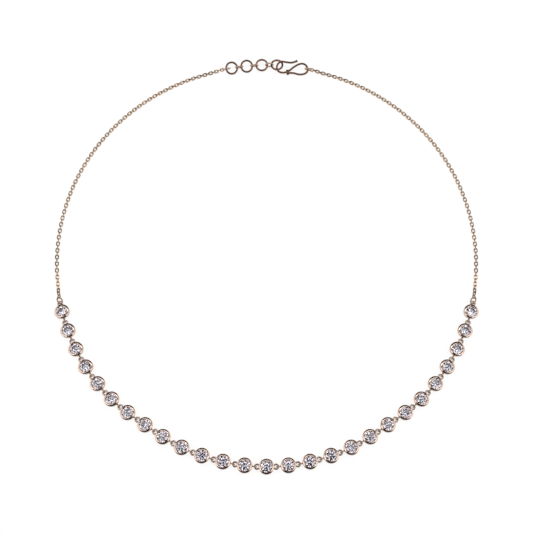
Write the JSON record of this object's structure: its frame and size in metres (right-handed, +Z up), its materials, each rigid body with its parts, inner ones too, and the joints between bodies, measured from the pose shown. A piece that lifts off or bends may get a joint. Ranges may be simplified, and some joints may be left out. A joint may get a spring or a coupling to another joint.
{
  "type": "riviere necklace",
  "caption": "Closed riviere necklace laid flat: a row of bezel-set round brilliants, fine cable chain at each side, and a fish hook fastened in an extension ring chain.",
  "frame": {"origin": "middle of the closed loop, on the surface that the necklace lies on", "axes": "+Z up out of the surface, the way the stones face; -Y towards the row's middle stone, +Y towards the clasp; +X towards the hook's side"},
  "size_m": [0.1468, 0.1503, 0.0036],
  "materials": {
    "rose_gold": "polished rose gold",
    "chain_gold": "polished rose gold, slightly warmer",
    "clasp_gold": "polished rose gold, slightly darker",
    "stone": "clear faceted brilliant"
  },
  "bodies": {
    "root": {"setting_01": "rose_gold", "setting_02": "rose_gold", "setting_03": "rose_gold", "setting_04": "rose_gold", "setting_05": "rose_gold", "setting_06": "rose_gold", "setting_07": "rose_gold", "setting_08": "rose_gold", "setting_09": "rose_gold", "setting_10": "rose_gold", "setting_11": "rose_gold", "setting_12": "rose_gold", "setting_13": "rose_gold", "setting_14": "rose_gold", "setting_15": "rose_gold", "setting_16": "rose_gold", "setting_17": "rose_gold", "setting_18": "rose_gold", "setting_19": "rose_gold", "setting_20": "rose_gold", "setting_21": "rose_gold", "setting_22": "rose_gold", "setting_23": "rose_gold", "setting_24": "rose_gold", "setting_25": "rose_gold", "setting_26": "rose_gold", "setting_27": "rose_gold", "stone_01": "stone", "stone_02": "stone", "stone_03": "stone", "stone_04": "stone", "stone_05": "stone", "stone_06": "stone", "stone_07": "stone", "stone_08": "stone", "stone_09": "stone", "stone_10": "stone", "stone_11": "stone", "stone_12": "stone", "stone_13": "stone", "stone_14": "stone", "stone_15": "stone", "stone_16": "stone", "stone_17": "stone", "stone_18": "stone", "stone_19": "stone", "stone_20": "stone", "stone_21": "stone", "stone_22": "stone", "stone_23": "stone", "stone_24": "stone", "stone_25": "stone", "stone_26": "stone", "stone_27": "stone", "jump_ring_left": "rose_gold", "jump_ring_right": "rose_gold", "chain_left": "chain_gold", "chain_right": "chain_gold", "extension_chain": "clasp_gold", "hook": "clasp_gold"}
  },
  "joints": []
}
